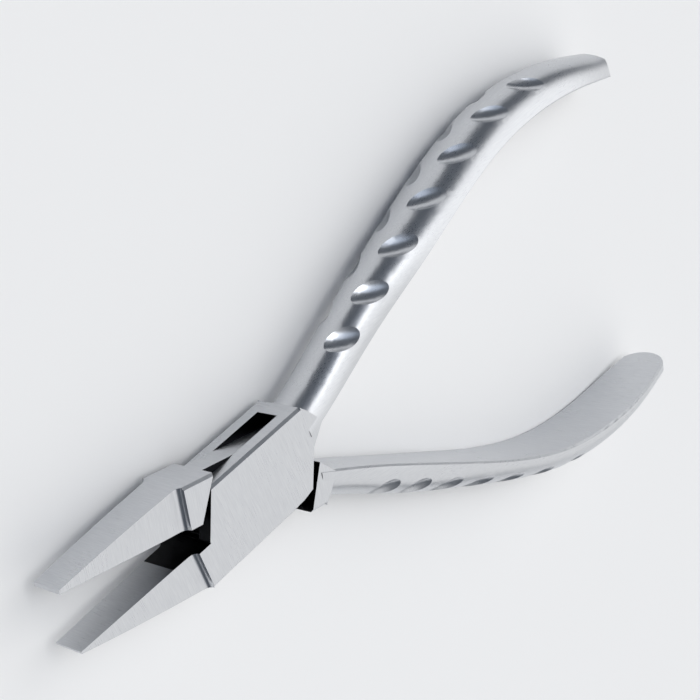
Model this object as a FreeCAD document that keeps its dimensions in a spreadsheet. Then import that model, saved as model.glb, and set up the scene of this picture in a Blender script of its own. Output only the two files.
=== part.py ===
import FreeCAD, Part
import math
import os
import Sketcher

# Flat nose pliers with a box joint: two forgings and one pin.
#
# Each half is built closed, in its own frame: the pin's axis is Z through the origin, the
# jaws point along +X, and the closing plane, where the grip faces meet, is Y = 0. The two
# halves are then turned apart by half_opening each, and lifted so that the lower cheek
# face lies on Z = 0, under the pin.
#
# side is +1 or -1: the half's jaw lies on that side of the closing plane, and its handle
# on the other.

Vector = FreeCAD.Vector
Rotation = FreeCAD.Rotation

SIZES = {
    # the joint
    "box_thickness": 8.4,
    "front_x": 13.4,
    "heel_x": 10.3,
    "jaw_side_height": 5.9,
    "handle_side_height": 6.4,
    "edge_chamfer": 0.4,
    "waist_thickness": 3.76,
    "waist_radius": 10.1,
    "slot_side_clearance": 0.05,
    "slot_end_clearance": 0.1,
    "parting_top_x": 7.9,
    "parting_inset": 2.2,
    "parting_clearance": 0.05,
    "heel_gap": 0.25,
    "cheek_corner_x": 3.0,
    "cheek_heel_x": 7.2,
    "cheek_heel_drop": 0.8,
    "crotch_x": 10.1,
    "block_shoulder_x": 11.4,
    "block_shoulder_y": 5.1,
    "block_inner_x": 13.1,
    "block_inner_y": 2.4,
    "pin_radius": 2.25,
    "pin_clearance": 0.03,
    # the jaws
    "jaw_length": 33.4,
    "tip_thickness": 0.45,
    "jaw_back_radius": 350.0,
    "jaw_tip_half_width": 2.6,
    "jaw_root_half_width": 3.1,
    "shoulder_radius": 1.0,
    "jaw_root_depth": 1.4,
    "grip_plane": 0.12,
    "grip_gap": 0.02,
    "relief_x": 17.2,
    "relief_depth": 0.08,
    # the handles
    "handle_length": 96.3,
    "handle_end_radius": 5.1,
    "end_round_length": 6.0,
    "end_round_rise": 6.1,
    "end_round_radius": 6.4,
    "end_lip": 0.7,
    "crease_bevel": 0.3,
    "flute_half_length": 6.0,
    "flute_radius": 2.6,
    "flute_depth": 0.75,
    "flute_growth": 0.4,
    # how far each half is turned from closed
    "half_opening": 7.2,
}

# The handle's section at places along it: share of the way from the joint's heel to the
# handle's end, then the inner flat's distance from the closing plane, the half width and
# the depth.
HANDLE_SECTIONS = {
    "root": (0.0, 1.3, 4.3, 4.75),
    "neck": (0.057, 2.8, 4.3, 4.75),
    "shank": (0.137, 5.1, 4.15, 5.2),
    "front": (0.23, 8.0, 4.4, 5.4),
    "swell": (0.345, 11.6, 5.4, 5.1),
    "palm": (0.485, 15.7, 5.9, 4.7),
    "crown": (0.625, 18.3, 5.9, 4.8),
    "turn": (0.764, 18.4, 5.85, 4.9),
    "paddle": (0.87, 16.9, 5.6, 4.7),
    "spoon": (0.945, 15.1, 4.85, 4.4),
    "end": (1.0, 13.8, 4.0, 4.0),
}
SECTION_WORDS = ("share", "inner", "half_width", "depth")

# The flutes of each half: the first one's place along the handle and the first pitch.
FLUTES = {
    "box_half": (22.6, 7.7),
    "through_half": (23.0, 6.2),
}
FLUTE_ROW = 7
FLUTE_SHARE = 0.39
FLUTE_SLANT = 46.0
TANGENT_SHARE = 0.1
TANGENT_STEP = 1.0

# How far the cutting outlines reach past what they cut, and how far joined blocks overlap.
FAR = 40.0
BEYOND = 1.0
END_BEYOND = 4.0
END_OVERLAP = 0.75
WAIST_OVERLAP = 0.5


class Size:
    """A number together with the spreadsheet expression that gives it."""

    def __init__(self, number, text):
        self.number = float(number)
        self.text = text

    def __add__(self, other):
        other = size(other)
        return Size(self.number + other.number, "(%s + %s)" % (self.text, other.text))

    def __sub__(self, other):
        other = size(other)
        return Size(self.number - other.number, "(%s - %s)" % (self.text, other.text))

    def __mul__(self, other):
        other = size(other)
        return Size(self.number * other.number, "(%s * %s)" % (self.text, other.text))

    def __truediv__(self, other):
        other = size(other)
        return Size(self.number / other.number, "(%s / %s)" % (self.text, other.text))

    def __neg__(self):
        return Size(-self.number, "(-1 * %s)" % self.text)


def size(value):
    """A Size as it is, or a plain number as a Size."""
    if isinstance(value, Size):
        return value
    return Size(value, repr(float(value)))


def root_of(value):
    """The square root of a Size."""
    return Size(math.sqrt(value.number), "sqrt(%s)" % value.text)


def sheet_values():
    """Every driving size by name: SIZES, the handle's sections and the flutes' places."""
    values = dict(SIZES)
    for name, numbers in HANDLE_SECTIONS.items():
        for word, number in zip(SECTION_WORDS, numbers):
            values["%s_%s" % (name, word)] = number
    for name, (first, pitch) in FLUTES.items():
        values[name + "_flute_start"] = first
        values[name + "_flute_pitch"] = pitch
    return values


def make_sheet(doc):
    """Write the driving sizes to a spreadsheet and return them as Sizes by name."""
    sheet = doc.addObject("Spreadsheet::Sheet", "Sizes")
    named = {}
    for row, (name, number) in enumerate(sheet_values().items(), start=1):
        sheet.set("A%d" % row, name)
        sheet.set("B%d" % row, str(number))
        sheet.setAlias("B%d" % row, name)
        named[name] = Size(number, "Sizes." + name)
    doc.recompute()
    return named


def plane_of(body, role):
    """The body's own origin plane with this role."""
    for feature in body.Origin.OriginFeatures:
        if feature.Role == role:
            return feature
    raise ValueError("no plane " + role)


def new_sketch(body, name, role, offset=None):
    """A sketch on one of the body's origin planes, moved along its normal by offset."""
    sketch = body.newObject("Sketcher::SketchObject", name)
    sketch.AttachmentSupport = [(plane_of(body, role), "")]
    sketch.MapMode = "FlatFace"
    if offset is not None:
        sketch.AttachmentOffset = FreeCAD.Placement(Vector(0, 0, offset.number), Rotation())
        sketch.setExpression("AttachmentOffset.Base.z", offset.text)
    return sketch


def bind(sketch, kind, first, position, value):
    """Hold one coordinate of a sketch point at a Size."""
    if value.number == 0.0:
        axis = -2 if kind == "DistanceX" else -1
        sketch.addConstraint(Sketcher.Constraint("PointOnObject", first, position, axis))
        return
    constraint = Sketcher.Constraint(kind, -1, 1, first, position, value.number)
    index = sketch.addConstraint(constraint)
    sketch.setExpression("Constraints[%d]" % index, value.text)


def close_outline(sketch, points, arcs=None):
    """Draw a closed outline through points, and hold every point at its Sizes.

    arcs gives, for the number of the point it starts from, a place the arc passes through
    and its radius.
    """
    arcs = arcs or {}
    spots = [Vector(x.number, y.number, 0) for x, y in points]
    starts = []
    for number, spot in enumerate(spots):
        following = spots[(number + 1) % len(spots)]
        if number not in arcs:
            sketch.addGeometry(Part.LineSegment(spot, following), False)
            starts.append((1, 2))
            continue
        through, radius = arcs[number]
        forward = (through - spot).cross(following - spot).z > 0
        ends = (spot, following) if forward else (following, spot)
        sketch.addGeometry(Part.Arc(ends[0], through, ends[1]), False)
        starts.append((1, 2) if forward else (2, 1))
        index = sketch.addConstraint(Sketcher.Constraint("Radius", number, radius.number))
        sketch.setExpression("Constraints[%d]" % index, radius.text)
    for number, (begin, end) in enumerate(starts):
        following = (number + 1) % len(starts)
        joint = Sketcher.Constraint("Coincident", number, end, following, starts[following][0])
        sketch.addConstraint(joint)
        x, y = points[number]
        bind(sketch, "DistanceX", number, begin, x)
        bind(sketch, "DistanceY", number, begin, y)


def circle(sketch, radius):
    """Draw a circle about the sketch's origin."""
    sketch.addGeometry(Part.Circle(Vector(), Vector(0, 0, 1), radius.number), False)
    sketch.addConstraint(Sketcher.Constraint("Coincident", 0, 3, -1, 1))
    index = sketch.addConstraint(Sketcher.Constraint("Radius", 0, radius.number))
    sketch.setExpression("Constraints[%d]" % index, radius.text)


def pad(body, name, sketch, length):
    """Add the sketch's outline, thick by length, half of it each side of the sketch."""
    feature = body.newObject("PartDesign::Pad", name)
    feature.Profile = sketch
    feature.SideType = "Symmetric"
    feature.Length = length.number
    feature.setExpression("Length", length.text)
    body.Document.recompute()
    return feature


def pocket(body, name, sketch, length=None):
    """Cut the sketch's outline right through, or to length, half of it each side."""
    before = body.Shape.Volume
    feature = body.newObject("PartDesign::Pocket", name)
    feature.Profile = sketch
    feature.SideType = "Symmetric"
    feature.Length = 2 * FAR
    if length is not None:
        feature.Length = length.number
        feature.setExpression("Length", length.text)
    body.Document.recompute()
    if body.Shape.Volume > before - 1e-6:
        raise ValueError(name + " cuts nothing")
    return feature


def chamfer_long_edge(body, sizes, name, height):
    """Chamfer the joint's long edges, on both outer faces, where its side lies at height."""
    chamfer = sizes["edge_chamfer"]
    face = sizes["box_thickness"] / 2.0
    front = sizes["front_x"]
    heel = sizes["heel_x"]
    inside = height - chamfer if height.number > 0 else height + chamfer
    outside = height + (BEYOND if height.number > 0 else -BEYOND)
    sketch = new_sketch(body, name, "YZ_Plane", (front - heel) / 2.0)
    points = [
        (inside, face + BEYOND),
        (inside, face),
        (height, face - chamfer),
        (height, -(face - chamfer)),
        (inside, -face),
        (inside, -(face + BEYOND)),
        (outside, -(face + BEYOND)),
        (outside, face + BEYOND),
    ]
    close_outline(sketch, points)
    pocket(body, name + "Chamfer", sketch, front + heel)


def bulge_point(start, end, radius):
    """The middle of the arc from start to end that bulges to the left of the way there."""
    half = start.distanceToPoint(end) / 2
    way = (end - start).normalize()
    rise = radius - math.sqrt(radius * radius - half * half)
    return (start + end) / 2 + Vector(-way.y, way.x, 0) * rise


def add_jaw(body, sizes, side):
    """One jaw: its plan with the two coves at the shoulder, then the wedge's outer face."""
    front = sizes["front_x"]
    cove = sizes["shoulder_radius"]
    tip = sizes["jaw_length"]
    wide = sizes["jaw_root_half_width"]
    narrow = sizes["jaw_tip_half_width"]
    buried = front - sizes["jaw_root_depth"]
    plan = new_sketch(body, "JawPlan", "XZ_Plane")
    bend = cove.number * (1 - math.sqrt(0.5))
    upper_bend = Vector(front.number + bend, wide.number + bend, 0)
    lower_bend = Vector(upper_bend.x, -upper_bend.y, 0)
    points = [
        (tip, narrow),
        (front + cove, wide),
        (front, wide + cove),
        (buried, wide + cove),
        (buried, -(wide + cove)),
        (front, -(wide + cove)),
        (front + cove, -wide),
        (tip, -narrow),
    ]
    close_outline(plan, points, {1: (upper_bend, cove), 5: (lower_bend, cove)})
    height = sizes["jaw_side_height"]
    pad(body, "Jaw", plan, height * 2.0)
    wedge = new_sketch(body, "JawWedge", "XY_Plane")
    top = height * side
    thin = sizes["tip_thickness"] * side
    radius = sizes["jaw_back_radius"]
    points = [
        (front, top),
        (tip, thin),
        (tip + BEYOND, thin),
        (tip + BEYOND, top + BEYOND * side),
        (front, top + BEYOND * side),
    ]
    shoulder = Vector(front.number, top.number, 0)
    nose = Vector(tip.number, thin.number, 0)
    ends = (shoulder, nose) if side > 0 else (nose, shoulder)
    close_outline(wedge, points, {0: (bulge_point(*ends, radius.number), radius)})
    pocket(body, "JawBack", wedge)


def face_grip(body, sizes, side):
    """Cut the grip side back to the grip plane, and the relief a little deeper behind it."""
    grip = sizes["grip_plane"] + sizes["grip_gap"] * side
    relief = grip + sizes["relief_depth"] * side
    start = parting_front(sizes)
    tip = sizes["jaw_length"] + BEYOND
    beyond = -(sizes["jaw_side_height"] + BEYOND) * side
    face = new_sketch(body, "GripFace", "XY_Plane")
    points = [
        (tip, grip),
        (sizes["relief_x"], grip),
        (sizes["front_x"], relief),
        (start, relief),
        (start, beyond),
        (tip, beyond),
    ]
    close_outline(face, points)
    pocket(body, "GripRelief", face)


def add_handle(body, sizes, side):
    """One handle: sections with a flat inside and a round outside, lofted to the end."""
    sketches = []
    heel = sizes["heel_x"]
    bevel = sizes["crease_bevel"]
    for name in HANDLE_SECTIONS:
        inner = sizes[name + "_inner"] * -side
        crease = inner - bevel * side
        half = sizes[name + "_half_width"]
        depth = sizes[name + "_depth"] - bevel
        place = -(heel + (sizes["handle_length"] - heel) * sizes[name + "_share"])
        sketch = new_sketch(body, "Section_" + name, "YZ_Plane", place)
        radius = (half * half + depth * depth) / (depth * 2.0)
        crown = Vector(crease.number - side * depth.number, 0, 0)
        flat = half - bevel
        points = [(inner, -flat), (inner, flat), (crease, half), (crease, -half)]
        close_outline(sketch, points, {2: (crown, radius)})
        sketches.append(sketch)
    loft = body.newObject("PartDesign::AdditiveLoft", "Handle")
    loft.Profile = sketches[0]
    loft.Sections = sketches[1:]
    body.Document.recompute()


def round_handle_end(body, sizes, side):
    """Cut the handle's end to a round arc in plan, and round its outside down to a lip."""
    end = sizes["handle_length"]
    radius = sizes["handle_end_radius"]
    half = sizes["end_half_width"] + END_OVERLAP
    start = -(end - radius + root_of(radius * radius - half * half))
    wide = half + END_BEYOND
    beyond = -(end + END_BEYOND)
    cut = new_sketch(body, "EndPlan", "XZ_Plane")
    points = [
        (start, -half),
        (start, half),
        (start, wide),
        (beyond, wide),
        (beyond, -wide),
        (start, -wide),
    ]
    close_outline(cut, points, {0: (Vector(-end.number, 0, 0), radius)})
    pocket(body, "HandleEnd", cut)
    inner = sizes["end_inner"]
    bend = sizes["end_round_radius"]
    top = (inner + sizes["end_round_rise"]) * -side
    lip = (inner + sizes["end_lip"]) * -side
    high = top - END_BEYOND * side
    start = -(end - sizes["end_round_length"])
    points = [(start, top), (-end, lip), (beyond, lip), (beyond, high), (start, high)]
    upper = Vector(start.number, top.number, 0)
    lower = Vector(-end.number, lip.number, 0)
    ends = (upper, lower) if side > 0 else (lower, upper)
    crown = new_sketch(body, "EndCrown", "XY_Plane")
    close_outline(crown, points, {0: (bulge_point(*ends, bend.number), bend)})
    pocket(body, "HandleCrown", crown)


def surface_point(shape, x, share, side):
    """Where the handle's round outside lies at x, share of the way from crown to edge."""
    box = Part.makeCompound(shape.slice(Vector(1, 0, 0), x)).BoundBox
    inner = box.YMax if side > 0 else box.YMin
    middle = Vector(x, inner, 0)
    angle = math.radians(90 * share)
    reach = Vector(x, inner - side * FAR * math.cos(angle), FAR * math.sin(angle))
    inside = Part.makeLine(middle, reach).common(shape)
    return max((vertex.Point for vertex in inside.Vertexes), key=middle.distanceToPoint)


def cut_flutes(body, sizes, name, side):
    """Cut two staggered rows of slanting leaf-shaped flutes across the handle's outside."""
    shape = body.Shape.copy()
    shape.Placement = FreeCAD.Placement()
    length = sizes["flute_half_length"]
    radius = sizes["flute_radius"]
    sunk = radius.number - sizes["flute_depth"].number
    growth = sizes["flute_growth"].number
    place = sizes[name + "_flute_start"].number
    pitch = sizes[name + "_flute_pitch"].number
    slant = math.radians(FLUTE_SLANT)
    for number in range(FLUTE_ROW):
        for row, shift in ((1, 0.0), (-1, pitch / 2)):
            x = -(place + shift)
            spot = surface_point(shape, x, FLUTE_SHARE, side)
            above = surface_point(shape, x, FLUTE_SHARE - TANGENT_SHARE, side)
            below = surface_point(shape, x, FLUTE_SHARE + TANGENT_SHARE, side)
            ahead = surface_point(shape, x - TANGENT_STEP, FLUTE_SHARE, side)
            across = (below - above).normalize()
            along = (ahead - spot).normalize()
            outward = across.cross(along).normalize()
            if outward.y * side > 0:
                outward = -outward
            axis = across * math.cos(slant) + along * math.sin(slant)
            centre = spot + outward * sunk
            if row < 0:
                centre.z = -centre.z
                axis.z = -axis.z
                outward.z = -outward.z
            cutter = body.newObject("PartDesign::SubtractiveEllipsoid", "Flute")
            cutter.Radius1 = length.number
            cutter.setExpression("Radius1", length.text)
            cutter.Radius2 = radius.number
            cutter.setExpression("Radius2", radius.text)
            cutter.Radius3 = radius.number
            cutter.setExpression("Radius3", radius.text)
            cutter.Placement = FreeCAD.Placement(centre, Rotation(Vector(0, 0, 1), axis))
        place += pitch
        pitch += growth
    body.Document.recompute()


def parting_front(sizes):
    """Where the line between lug and cheek meets the closing plane."""
    return sizes["front_x"] - sizes["parting_inset"]


def parting_lean(sizes):
    """How far the line between lug and cheek leans towards the pin for each mm of height."""
    return (parting_front(sizes) - sizes["parting_top_x"]) / sizes["jaw_side_height"]


def parting_gap(sizes):
    """The lug's place ahead of the cheek, which lets the cheek's corner swing past it."""
    front = parting_front(sizes)
    lean = parting_lean(sizes)
    height = sizes["handle_side_height"]
    corner = front - lean * height
    swing = root_of(corner * corner + height * height) + sizes["parting_clearance"]
    return swing * root_of(lean * lean + 1.0) - front


def parting_points(sizes, height, gap):
    """The line between lug and cheek, from the joint's edge at height to the closing plane."""
    front = parting_front(sizes) + gap
    rise = height if height.number > 0 else -height
    return [(front - parting_lean(sizes) * rise, height), (front, size(0.0))]


def cheek_heel(sizes, height, gap):
    """The line between cheek and block, from height to the crotch."""
    return [(-(sizes["cheek_heel_x"] + gap), height), (-(sizes["crotch_x"] + gap), size(0.0))]


def heel_points(sizes, side):
    """The joint's back end where the handle grows out of it, from crotch to edge."""
    return [
        (-sizes["block_inner_x"], sizes["block_inner_y"] * side),
        (-sizes["block_shoulder_x"], sizes["block_shoulder_y"] * side),
        (-sizes["heel_x"], sizes["handle_side_height"] * side),
    ]


def make_box_half(doc, sizes):
    """Upper handle, two cheeks with the slot between them, and lower jaw, in one piece."""
    side = 1
    body = doc.addObject("PartDesign::Body", "box_half")
    front = sizes["front_x"]
    corner = -sizes["cheek_corner_x"]
    no_gap = size(0.0)
    jaw_side = sizes["jaw_side_height"] * side
    handle_side = sizes["handle_side_height"] * -side
    plate = new_sketch(body, "Plate", "XY_Plane")
    points = parting_points(sizes, handle_side, no_gap)
    points += [(front, no_gap), (front, jaw_side), (corner, jaw_side)]
    points += cheek_heel(sizes, jaw_side - sizes["cheek_heel_drop"], no_gap)
    points += heel_points(sizes, -side)
    close_outline(plate, points)
    pad(body, "Block", plate, sizes["box_thickness"])
    add_jaw(body, sizes, side)
    chamfer_long_edge(body, sizes, "HandleSide", handle_side)
    chamfer_long_edge(body, sizes, "JawSide", jaw_side)
    add_handle(body, sizes, side)
    round_handle_end(body, sizes, side)
    thickness = sizes["waist_thickness"] + sizes["slot_side_clearance"] * 2.0
    hollow = new_sketch(body, "SlotRound", "XY_Plane")
    circle(hollow, sizes["waist_radius"] + sizes["slot_end_clearance"])
    pocket(body, "SlotMiddle", hollow, thickness)
    mouth = new_sketch(body, "SlotMouthOutline", "XY_Plane")
    wide = front + BEYOND
    high = size(-FAR * side)
    close_outline(mouth, [(no_gap, no_gap), (wide, no_gap), (wide, high), (no_gap, high)])
    pocket(body, "SlotMouth", mouth, thickness)
    hole = new_sketch(body, "PinHoleOutline", "XY_Plane")
    circle(hole, sizes["pin_radius"])
    pocket(body, "PinHole", hole)
    face_grip(body, sizes, side)
    cut_flutes(body, sizes, "box_half", side)
    return body


def make_through_half(doc, sizes):
    """Lower handle, thin waist between a lug and a block, and upper jaw, in one piece."""
    side = -1
    body = doc.addObject("PartDesign::Body", "through_half")
    front = sizes["front_x"]
    gap = parting_gap(sizes)
    heel_gap = sizes["heel_gap"]
    closing = size(0.0)
    radius = sizes["waist_radius"]
    jaw_side = sizes["jaw_side_height"] * side
    handle_side = sizes["handle_side_height"] * -side
    lug = new_sketch(body, "LugOutline", "XY_Plane")
    points = parting_points(sizes, jaw_side, gap)
    points += [(front, closing), (front, jaw_side)]
    close_outline(lug, points)
    pad(body, "Lug", lug, sizes["box_thickness"])
    heel = new_sketch(body, "BlockOutline", "XY_Plane")
    points = cheek_heel(sizes, handle_side, heel_gap)
    points += heel_points(sizes, -side)
    close_outline(heel, points)
    pad(body, "Block", heel, sizes["box_thickness"])
    waist = new_sketch(body, "WaistOutline", "XY_Plane")
    high = sizes["jaw_side_height"]
    reach = root_of(radius * radius - high * high)
    edge = sizes["slot_end_clearance"] * side
    points = [(-reach, jaw_side)]
    points += parting_points(sizes, jaw_side, gap + WAIST_OVERLAP)
    points[2] = (points[2][0], edge)
    points += [(radius, edge), (radius, closing), (reach, -jaw_side)]
    points += cheek_heel(sizes, -jaw_side, heel_gap + WAIST_OVERLAP)
    points += [(-radius, closing)]
    middle = Vector(reach.number + radius.number, -jaw_side.number, 0).normalize()
    right = middle * radius.number
    arcs = {4: (right, radius), 8: (-right, radius)}
    close_outline(waist, points, arcs)
    pad(body, "Waist", waist, sizes["waist_thickness"])
    add_jaw(body, sizes, side)
    chamfer_long_edge(body, sizes, "HandleSide", handle_side)
    chamfer_long_edge(body, sizes, "JawSide", jaw_side)
    add_handle(body, sizes, side)
    round_handle_end(body, sizes, side)
    hole = new_sketch(body, "PinHoleOutline", "XY_Plane")
    circle(hole, sizes["pin_radius"] + sizes["pin_clearance"])
    pocket(body, "PinHole", hole)
    face_grip(body, sizes, side)
    cut_flutes(body, sizes, "through_half", side)
    return body


def make_joint_pin(doc, sizes):
    """The pin, pressed into both cheeks and ground flush with them."""
    body = doc.addObject("PartDesign::Body", "joint_pin")
    outline = new_sketch(body, "PinOutline", "XY_Plane")
    circle(outline, sizes["pin_radius"])
    pad(body, "Pin", outline, sizes["box_thickness"])
    return body


def set_in_frame(body, sizes, turn):
    """Lift a body onto Z = 0 and turn it about the pin, +1 towards +Y, -1 towards -Y."""
    half = sizes["box_thickness"] / 2.0
    angle = sizes["half_opening"] if turn else size(0.0)
    axis = Vector(0, 0, turn or 1)
    body.Placement = FreeCAD.Placement(Vector(0, 0, half.number), Rotation(axis, angle.number))
    body.setExpression("Placement.Base.z", half.text)
    if turn:
        body.setExpression("Placement.Rotation.Angle", angle.text)


def check(doc, bodies):
    """Stop if any object failed or any sub-part isn't one valid solid."""
    for item in doc.Objects:
        if "Invalid" in item.State or "Error" in item.State:
            raise RuntimeError("%s failed: %s" % (item.Name, item.State))
    for body in bodies:
        shape = body.Shape
        if shape.isNull() or not shape.isValid() or len(shape.Solids) != 1:
            raise RuntimeError("%s isn't one valid solid" % body.Label)


def main():
    doc = FreeCAD.newDocument("flat_nose_pliers")
    sizes = make_sheet(doc)
    box_half = make_box_half(doc, sizes)
    through_half = make_through_half(doc, sizes)
    joint_pin = make_joint_pin(doc, sizes)
    set_in_frame(box_half, sizes, 1)
    set_in_frame(through_half, sizes, -1)
    set_in_frame(joint_pin, sizes, 0)
    doc.recompute()
    bodies = [box_half, through_half, joint_pin]
    check(doc, bodies)
    os.makedirs("parts", exist_ok=True)
    for body in bodies:
        body.Shape.exportStep("parts/%s.step" % body.Label)
        bounds = body.Shape.BoundBox
        print(body.Label, round(body.Shape.Volume, 1), bounds)


main()
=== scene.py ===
import math

import bmesh
import bpy
from bpy.props import FloatProperty, FloatVectorProperty, PointerProperty
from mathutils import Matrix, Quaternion, Vector


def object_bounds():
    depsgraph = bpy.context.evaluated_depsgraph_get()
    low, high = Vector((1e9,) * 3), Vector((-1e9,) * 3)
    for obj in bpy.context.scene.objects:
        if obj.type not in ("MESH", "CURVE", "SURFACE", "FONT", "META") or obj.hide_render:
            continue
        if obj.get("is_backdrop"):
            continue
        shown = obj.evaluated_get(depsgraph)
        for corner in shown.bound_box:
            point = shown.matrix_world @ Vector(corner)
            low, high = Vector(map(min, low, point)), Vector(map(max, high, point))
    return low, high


bl_info = {
    "name": "Flat Nose Pliers Finish",
    "version": (1, 0, 0),
    "blender": (4, 5, 0),
    "location": "View3D > Sidebar > Pliers",
    "description": "Satin steel finish and studio for a pair of box-joint flat nose pliers",
    "category": "Object",
}

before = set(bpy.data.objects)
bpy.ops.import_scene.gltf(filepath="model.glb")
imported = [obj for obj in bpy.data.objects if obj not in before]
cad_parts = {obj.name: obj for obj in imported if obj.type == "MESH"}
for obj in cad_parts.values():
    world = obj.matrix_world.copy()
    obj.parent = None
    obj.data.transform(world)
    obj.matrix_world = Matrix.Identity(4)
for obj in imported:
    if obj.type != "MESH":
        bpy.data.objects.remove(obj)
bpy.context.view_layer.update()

MM = 0.001

# Each half's own place in the frame, which its patterns follow: the pin's middle is 4.2 mm
# up, and a half is turned 7.2 degrees about it from closed. The number tells on which side
# of the closing plane the half's jaw is.
PIN_MIDDLE = 4.2 * MM
HALF_TURN = math.radians(7.2)
HALF_SIDE = {"box_half": 1.0, "through_half": -1.0}

# Where the finishes and the painted black meet, in a closed half's own place. X runs from the
# pin to the jaws, Y across the closing plane and Z along the pin, and a reach is a distance from
# the pin's axis. The black on the slot's walls, hardening oxide together with painted shade,
# fades out between its two reaches. The black on the relief behind the grip faces is painted
# shade and painted reflection.
HANDLE_STARTS_X = -10 * MM
HANDLE_FULL_X = -14 * MM
RELIEF_X = (10.5 * MM, 17.2 * MM)
RELIEF_HALF_Y = 1 * MM
SLOT_HALF_Z = 2.2 * MM
SLOT_WALL_REACH = (12 * MM, 13.5 * MM)
END_WALL_REACH = 11.9 * MM
PIN_EDGE_REACH = 3 * MM
SCALE_AND_SHADE_EDGE = 0.05 * MM

# How far a face's normal lies along an axis for the face to count as looking that way.
FLAT_ON = 0.9
GRIP_FACING = 0.7
END_FACING = 0.6

# The belt's lines: how fine their noise is along X, Y and Z, where a small number draws the
# lines out, the part of the noise that the two colours spread over, the noise's middle value,
# and how strongly the lines' depth shows.
LINES_ACROSS = (1.0, 0.05, 0.05)
LINES_ALONG = (0.04, 1.0, 1.0)
LINE_SPREAD = (0.35, 0.65)
NOISE_MIDDLE = 0.5
LINE_STRENGTH = 0.5

# The belt's uneven pressure: the width of a patch and how much it changes the roughness.
PATCH_WIDTH = 6 * MM
PATCH_CONTRAST = 0.06

# Where the middle of the wide light, the large lamp and the skylight lie, seen from the
# pliers, and the cosines between which each fades in. The skylight whitens the floor, and no
# flat face of the pliers mirrors it to the camera.
OVERHEAD_AXIS = (-0.50, 0.28, 0.82)
LAMP_AXIS = (-0.62, -0.28, 0.73)
SKYLIGHT_AXIS = (0.30, -0.45, 0.84)
OVERHEAD_FADE = (0.42, 0.62)
LAMP_FADE = (0.80, 0.99)
SKYLIGHT_FADE = (0.90, 0.98)

# The floor lies this far below the pliers' lowest point.
FLOOR_CLEARANCE = 0.02 * MM


def linear(hex_colour):
    """The linear colour of an sRGB hex value, with full alpha."""
    channels = []
    for start in (1, 3, 5):
        value = int(hex_colour[start : start + 2], 16) / 255
        channels.append(value / 12.92 if value <= 0.04045 else ((value + 0.055) / 1.055) ** 2.4)
    return (*channels, 1.0)


def colour_property(name, description, hex_colour):
    """A colour the panel shows, with its default given as sRGB hex."""
    return FloatVectorProperty(
        name=name,
        description=description,
        subtype="COLOR",
        size=4,
        min=0.0,
        max=1.0,
        default=linear(hex_colour),
    )


def length_property(name, description, millimetres):
    """A length the panel shows, with its default given in millimetres."""
    return FloatProperty(
        name=name,
        description=description,
        subtype="DISTANCE",
        unit="LENGTH",
        min=0.0,
        precision=5,
        default=millimetres * MM,
    )


def factor_property(name, description, share):
    """A share between 0 and 1 that the panel shows."""
    return FloatProperty(
        name=name,
        description=description,
        subtype="FACTOR",
        min=0.0,
        max=1.0,
        default=share,
    )


def angle_property(name, description, degrees):
    """An angle the panel shows, with its default given in degrees."""
    return FloatProperty(
        name=name,
        description=description,
        subtype="ANGLE",
        unit="ROTATION",
        default=math.radians(degrees),
    )


class PliersSteelSettings(bpy.types.PropertyGroup):
    """Sizes and colours of the satin steel."""

    steel: colour_property("Steel", "Colour of the freshly ground steel", "#CFD1D4")
    steel_shade: colour_property("Steel shade", "Colour of the darker grain lines", "#C6C8CC")
    # Black for the hardening oxide inside the joint, also used for painted shade in the joint's
    # gaps and painted reflection on the relief behind the grip faces.
    scale: colour_property(
        "Hardening scale", "Colour of the black scale inside the joint", "#1B1C1F"
    )
    grain_width: length_property("Grain width", "Width of one grinding line", 0.12)
    grain_depth: length_property("Grain depth", "Depth of the grinding lines", 0.0015)
    satin: factor_property("Satin", "Roughness of the satin faces", 0.29)
    grain_contrast: factor_property(
        "Grain contrast", "Change of roughness across the grain", 0.08
    )
    edge_round: length_property("Edge round", "Radius the belt leaves on the sharp edges", 0.06)


class PliersStageSettings(bpy.types.PropertyGroup):
    """Sizes, colours and angles of the stage, the lights and the camera."""

    floor: colour_property("Floor", "Colour of the floor", "#F2F2F2")
    floor_width: length_property("Floor width", "Side of the square floor", 12000.0)
    overhead: colour_property("Overhead", "Colour of the soft light from above", "#FFFFFF")
    horizon: colour_property("Horizon", "Colour of the room at eye level", "#545A63")
    overhead_strength: FloatProperty(
        name="Overhead strength",
        description="Brightness of the soft light from above",
        min=0.0,
        default=1.0,
    )
    skylight_strength: FloatProperty(
        name="Skylight strength",
        description="How much brighter the small high skylight is",
        min=0.0,
        default=6.5,
    )
    lamp_strength: FloatProperty(
        name="Lamp strength",
        description="How much brighter the light is where the large soft lamp hangs",
        min=0.0,
        default=0.45,
    )
    azimuth: angle_property("Azimuth", "Where the camera stands round the pliers", 58.5055)
    elevation: angle_property("Elevation", "How high the camera stands", 43.3826)
    roll: angle_property("Roll", "How far the camera is rolled about its own axis", 97.951)
    distance: length_property("Distance", "From the camera to the point it aims at", 235.0)
    focal_length: FloatProperty(
        name="Focal length",
        description="Focal length on a 36 mm wide sensor",
        subtype="DISTANCE_CAMERA",
        min=1.0,
        default=82.03,
    )
    aim: FloatVectorProperty(
        name="Aim",
        description="The point the camera aims at",
        subtype="TRANSLATION",
        unit="LENGTH",
        size=3,
        default=(-29.317 * MM, -5.635 * MM, -0.85 * MM),
    )


def add(tree, kind, settings=None, inputs=None):
    """Adds a node, sets its settings, and fills or links its inputs by name or number."""
    node = tree.nodes.new(kind)
    for name, value in (settings or {}).items():
        setattr(node, name, value)
    for name, value in (inputs or {}).items():
        if isinstance(value, bpy.types.NodeSocket):
            tree.links.new(value, node.inputs[name])
        else:
            node.inputs[name].default_value = value
    return node


def math_of(tree, operation, *values):
    """The result of a Math node."""
    node = add(tree, "ShaderNodeMath", {"operation": operation}, dict(enumerate(values)))
    return node.outputs[0]


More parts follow.
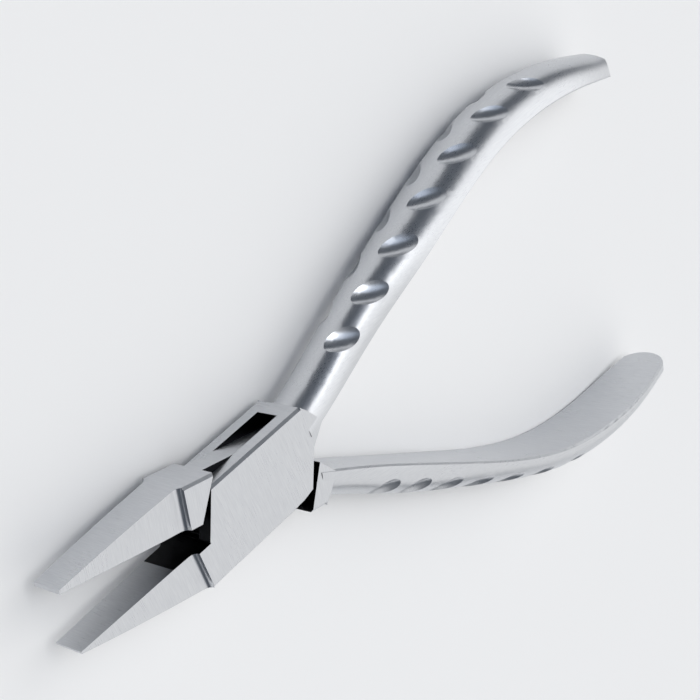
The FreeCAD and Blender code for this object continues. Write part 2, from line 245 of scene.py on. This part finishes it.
def smooth_step(tree, value, low, high):
    """0 at low and 1 at high, rising smoothly between them; high may be the lower one."""
    return add(
        tree,
        "ShaderNodeMapRange",
        {"interpolation_type": "SMOOTHSTEP"},
        {"Value": value, "From Min": low, "From Max": high},
    ).outputs["Result"]


def between(tree, value, low, high, soft):
    """1 where value lies between low and high, fading out over soft beyond each."""
    rising = smooth_step(tree, value, low - soft, low + soft)
    falling = smooth_step(tree, value, high + soft, high - soft)
    return math_of(tree, "MULTIPLY", rising, falling)


def grain(tree, place, stretch, width, name):
    """Grinding lines: a noise that is fine across the lines and long along them."""
    scaled = add(
        tree,
        "ShaderNodeMapping",
        {"vector_type": "POINT", "label": name},
        {"Vector": place, "Scale": tuple(s / width for s in stretch)},
    ).outputs["Vector"]
    return add(
        tree,
        "ShaderNodeTexNoise",
        {"noise_dimensions": "3D"},
        {"Vector": scaled, "Scale": 1.0, "Detail": 3.0, "Roughness": 0.6},
    ).outputs["Fac"]


def all_of(tree, first, *others):
    """The product of several masks: where all of them hold."""
    for other in others:
        first = math_of(tree, "MULTIPLY", first, other)
    return first


def closed_place(tree, side):
    """A half's place and normal as they are with the pliers closed, from the pin's middle."""
    coordinates = add(tree, "ShaderNodeTexCoord")
    turn = (0.0, 0.0, -HALF_TURN * side)
    place = add(
        tree,
        "ShaderNodeMapping",
        {"vector_type": "POINT"},
        {
            "Vector": coordinates.outputs["Object"],
            "Location": (0.0, 0.0, -PIN_MIDDLE),
            "Rotation": turn,
        },
    ).outputs["Vector"]
    facing = add(
        tree,
        "ShaderNodeMapping",
        {"vector_type": "POINT"},
        {"Vector": coordinates.outputs["Normal"], "Rotation": turn},
    ).outputs["Vector"]
    return place, facing


def scale_and_painted_shade_mask(tree, spot, normal, inward, reach):
    """Where the steel is painted black: for the hardening oxide left where the belt doesn't
    come, and for painted shade and painted reflection.

    These are the slot's walls and the waist's sides, and the faces near the pin that look along
    the jaws or the handles, black as oxide and as painted shade in the joint's gaps, and the
    relief behind the grip faces, black as painted shade and painted reflection of the dark
    joint.
    """
    # The slot's walls and the waist's sides: hardening oxide together with painted shade.
    sideways = math_of(tree, "ABSOLUTE", normal.outputs["Z"])
    slot_walls = all_of(
        tree,
        math_of(tree, "GREATER_THAN", sideways, FLAT_ON),
        between(tree, spot.outputs["Z"], -SLOT_HALF_Z, SLOT_HALF_Z, SCALE_AND_SHADE_EDGE),
        smooth_step(tree, reach, SLOT_WALL_REACH[1], SLOT_WALL_REACH[0]),
    )
    # The relief behind the grip faces: black painted as painted shade and painted reflection of
    # the dark joint.
    relief = all_of(
        tree,
        math_of(tree, "LESS_THAN", inward, -GRIP_FACING),
        between(tree, spot.outputs["X"], *RELIEF_X, SCALE_AND_SHADE_EDGE),
        between(tree, spot.outputs["Y"], -RELIEF_HALF_Y, RELIEF_HALF_Y, SCALE_AND_SHADE_EDGE),
    )
    # Faces near the pin that look along the jaws or the handles: hardening oxide together with
    # painted shade in the joint's gaps.
    endways = math_of(tree, "ABSOLUTE", normal.outputs["X"])
    end_walls = all_of(
        tree,
        math_of(tree, "GREATER_THAN", endways, END_FACING),
        math_of(tree, "LESS_THAN", reach, END_WALL_REACH),
    )
    walls = math_of(tree, "MAXIMUM", slot_walls, relief)
    return math_of(tree, "MAXIMUM", walls, end_walls)


def softened_edges(tree, left_sharp, radius):
    """The normal with edges rounded a little, but not where left_sharp is 1."""
    rounded = add(tree, "ShaderNodeBevel", {"samples": 4}, {"Radius": radius})
    true_normal = add(tree, "ShaderNodeNewGeometry")
    return add(
        tree,
        "ShaderNodeMix",
        {"data_type": "VECTOR"},
        {
            "Factor": left_sharp,
            4: rounded.outputs["Normal"],
            5: true_normal.outputs["Normal"],
        },
    ).outputs[1]


def satin_ground_steel(name, side, settings):
    """Hardened stainless tool steel, ground flat, then brushed satin with a fine belt.

    The belt leaves fine lines across the jaws and the joint, and along the handles. They
    blur every reflection one way, so that faces look pale and even, and edges stay bright.
    Inside the joint, where no belt reaches, black is painted for the oxide of hardening and for
    painted shade in the joint's gaps, and on the relief behind the grip faces black is painted
    as painted shade and painted reflection of the dark joint.
    """
    material = bpy.data.materials.new(name)
    material.use_nodes = True
    tree = material.node_tree
    tree.nodes.clear()
    place, facing = closed_place(tree, side)
    spot = add(tree, "ShaderNodeSeparateXYZ", inputs={"Vector": place})
    normal = add(tree, "ShaderNodeSeparateXYZ", inputs={"Vector": facing})
    inward = math_of(tree, "MULTIPLY", normal.outputs["Y"], side)
    in_plan = {"X": spot.outputs["X"], "Y": spot.outputs["Y"]}
    reach = add(
        tree,
        "ShaderNodeVectorMath",
        {"operation": "LENGTH"},
        {0: add(tree, "ShaderNodeCombineXYZ", inputs=in_plan).outputs[0]},
    ).outputs["Value"]

    across_lines = grain(tree, place, LINES_ACROSS, settings.grain_width, "lines across")
    along_lines = grain(tree, place, LINES_ALONG, settings.grain_width, "lines along")
    on_handle = smooth_step(tree, spot.outputs["X"], HANDLE_STARTS_X, HANDLE_FULL_X)
    not_inside = math_of(tree, "LESS_THAN", inward, GRIP_FACING)
    lines = add(
        tree,
        "ShaderNodeMix",
        {"data_type": "FLOAT"},
        {"Factor": all_of(tree, on_handle, not_inside), 2: across_lines, 3: along_lines},
    ).outputs[0]
    patches = add(
        tree,
        "ShaderNodeTexNoise",
        inputs={"Vector": place, "Scale": 1 / PATCH_WIDTH, "Detail": 2.0},
    ).outputs["Fac"]

    line_share = add(
        tree,
        "ShaderNodeMapRange",
        inputs={"Value": lines, "From Min": LINE_SPREAD[0], "From Max": LINE_SPREAD[1]},
    ).outputs["Result"]
    steel = add(
        tree,
        "ShaderNodeMix",
        {"data_type": "RGBA"},
        {"Factor": line_share, 6: tuple(settings.steel_shade), 7: tuple(settings.steel)},
    ).outputs[2]
    # Black painted for the hardening oxide, and as painted shade and painted reflection inside
    # the joint.
    scale_and_shade_share = scale_and_painted_shade_mask(tree, spot, normal, inward, reach)
    colour = add(
        tree,
        "ShaderNodeMix",
        {"data_type": "RGBA"},
        {"Factor": scale_and_shade_share, 6: steel, 7: tuple(settings.scale)},
    ).outputs[2]
    line_change = math_of(tree, "SUBTRACT", lines, NOISE_MIDDLE)
    patch_change = math_of(tree, "SUBTRACT", patches, NOISE_MIDDLE)
    lined = math_of(tree, "MULTIPLY_ADD", line_change, settings.grain_contrast, settings.satin)
    roughness = math_of(tree, "MULTIPLY_ADD", patch_change, PATCH_CONTRAST, lined)
    at_pin = math_of(tree, "LESS_THAN", reach, PIN_EDGE_REACH)
    left_sharp = math_of(tree, "MAXIMUM", at_pin, on_handle)
    bump = add(
        tree,
        "ShaderNodeBump",
        inputs={
            "Strength": LINE_STRENGTH,
            "Distance": settings.grain_depth,
            "Height": lines,
            "Normal": softened_edges(tree, left_sharp, settings.edge_round),
        },
    ).outputs["Normal"]
    shader = add(
        tree,
        "ShaderNodeBsdfPrincipled",
        inputs={
            "Base Color": colour,
            "Metallic": 1.0,
            "Roughness": roughness,
            "Normal": bump,
        },
    ).outputs["BSDF"]
    add(tree, "ShaderNodeOutputMaterial", inputs={"Surface": shader})
    return material


def dress(piece, material):
    """Puts one material on every slot of a node."""
    if not piece.data.materials:
        piece.data.materials.append(material)
    for number in range(len(piece.data.materials)):
        piece.data.materials[number] = material


class PLIERS_OT_finish_halves(bpy.types.Operator):
    """Gives the two forged halves their satin ground steel"""

    bl_idname = "pliers.finish_halves"
    bl_label = "Finish the forged halves"

    def execute(self, context):
        settings = context.scene.pliers_steel
        for node, side in HALF_SIDE.items():
            material = satin_ground_steel("satin_ground_steel_" + node, side, settings)
            dress(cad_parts[node], material)
        return {"FINISHED"}


class PLIERS_OT_finish_pin(bpy.types.Operator):
    """Gives the joint pin the same satin steel, turned with the half it is pressed into"""

    bl_idname = "pliers.finish_pin"
    bl_label = "Finish the joint pin"

    def execute(self, context):
        settings = context.scene.pliers_steel
        side = HALF_SIDE["box_half"]
        material = satin_ground_steel("satin_ground_steel_pin", side, settings)
        dress(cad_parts["joint_pin"], material)
        return {"FINISHED"}


def lay_floor(settings):
    """A plain pale floor just under the pliers."""
    mesh = bpy.data.meshes.new("floor")
    shape = bmesh.new()
    bmesh.ops.create_grid(shape, x_segments=1, y_segments=1, size=settings.floor_width / 2)
    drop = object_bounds()[0].z - FLOOR_CLEARANCE
    bmesh.ops.translate(shape, verts=shape.verts, vec=(0, 0, drop))
    shape.to_mesh(mesh)
    shape.free()
    floor = bpy.data.objects.new("floor", mesh)
    bpy.context.scene.collection.objects.link(floor)
    material = bpy.data.materials.new("matt_paper")
    material.use_nodes = True
    shader = material.node_tree.nodes["Principled BSDF"]
    shader.inputs["Base Color"].default_value = tuple(settings.floor)
    shader.inputs["Roughness"].default_value = 0.9
    shader.inputs["Specular IOR Level"].default_value = 0.1
    mesh.materials.append(material)
    floor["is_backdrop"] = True


def glow_towards(tree, direction, axis, fade):
    """1 in the directions close to axis, 0 in those far from it, by the fade's cosines."""
    close = add(
        tree,
        "ShaderNodeVectorMath",
        {"operation": "DOT_PRODUCT"},
        {0: direction, 1: Vector(axis).normalized()},
    ).outputs["Value"]
    return smooth_step(tree, close, *fade)


def light_room(settings):
    """A dim room under a wide soft light, with a large lamp and a small high skylight."""
    world = bpy.data.worlds.new("studio_room")
    bpy.context.scene.world = world
    world.use_nodes = True
    tree = world.node_tree
    tree.nodes.clear()
    direction = add(tree, "ShaderNodeTexCoord").outputs["Generated"]
    share = glow_towards(tree, direction, OVERHEAD_AXIS, OVERHEAD_FADE)
    colour = add(
        tree,
        "ShaderNodeMix",
        {"data_type": "RGBA"},
        {"Factor": share, 6: tuple(settings.horizon), 7: tuple(settings.overhead)},
    ).outputs[2]
    lamp = glow_towards(tree, direction, LAMP_AXIS, LAMP_FADE)
    skylight = glow_towards(tree, direction, SKYLIGHT_AXIS, SKYLIGHT_FADE)
    lit = math_of(tree, "MULTIPLY_ADD", lamp, settings.lamp_strength, settings.overhead_strength)
    strength = math_of(tree, "MULTIPLY_ADD", skylight, settings.skylight_strength, lit)
    glow = add(
        tree,
        "ShaderNodeBackground",
        inputs={"Color": colour, "Strength": strength},
    ).outputs["Background"]
    add(tree, "ShaderNodeOutputWorld", inputs={"Surface": glow})


def set_camera(settings):
    """The camera, aimed from its azimuth and elevation and rolled about its own axis."""
    camera = bpy.data.objects.new("camera", bpy.data.cameras.new("camera"))
    bpy.context.scene.collection.objects.link(camera)
    camera.data.sensor_width = 36.0
    camera.data.lens = settings.focal_length
    camera.data.clip_start = 1 * MM
    back = Vector(
        (
            math.sin(settings.azimuth) * math.cos(settings.elevation),
            -math.cos(settings.azimuth) * math.cos(settings.elevation),
            math.sin(settings.elevation),
        )
    )
    camera.location = Vector(settings.aim) + back * settings.distance
    camera.rotation_mode = "QUATERNION"
    level = (-back).to_track_quat("-Z", "Y")
    camera.rotation_quaternion = level @ Quaternion((0.0, 0.0, 1.0), settings.roll)
    bpy.context.scene.camera = camera


class PLIERS_OT_set_stage(bpy.types.Operator):
    """Lays the floor, lights the room and places the camera"""

    bl_idname = "pliers.set_stage"
    bl_label = "Set the stage"

    def execute(self, context):
        settings = context.scene.pliers_stage
        context.scene.view_settings.view_transform = "Standard"
        lay_floor(settings)
        light_room(settings)
        set_camera(settings)
        return {"FINISHED"}


class PLIERS_PT_panel(bpy.types.Panel):
    """Lists the pliers' settings and operators"""

    bl_label = "Flat nose pliers"
    bl_idname = "PLIERS_PT_panel"
    bl_space_type = "VIEW_3D"
    bl_region_type = "UI"
    bl_category = "Pliers"

    def draw(self, context):
        for settings in (context.scene.pliers_steel, context.scene.pliers_stage):
            box = self.layout.box()
            for name in settings.__annotations__:
                box.prop(settings, name)
        for operator in OPERATORS:
            self.layout.operator(operator.bl_idname)


OPERATORS = (PLIERS_OT_finish_halves, PLIERS_OT_finish_pin, PLIERS_OT_set_stage)
CLASSES = (PliersSteelSettings, PliersStageSettings, *OPERATORS, PLIERS_PT_panel)


def register():
    for cls in CLASSES:
        bpy.utils.register_class(cls)
    bpy.types.Scene.pliers_steel = PointerProperty(type=PliersSteelSettings)
    bpy.types.Scene.pliers_stage = PointerProperty(type=PliersStageSettings)


def unregister():
    del bpy.types.Scene.pliers_stage
    del bpy.types.Scene.pliers_steel
    for cls in reversed(CLASSES):
        bpy.utils.unregister_class(cls)


def main():
    register()
    bpy.ops.pliers.finish_halves()
    bpy.ops.pliers.finish_pin()
    bpy.ops.pliers.set_stage()


if __name__ == "__main__":
    main()
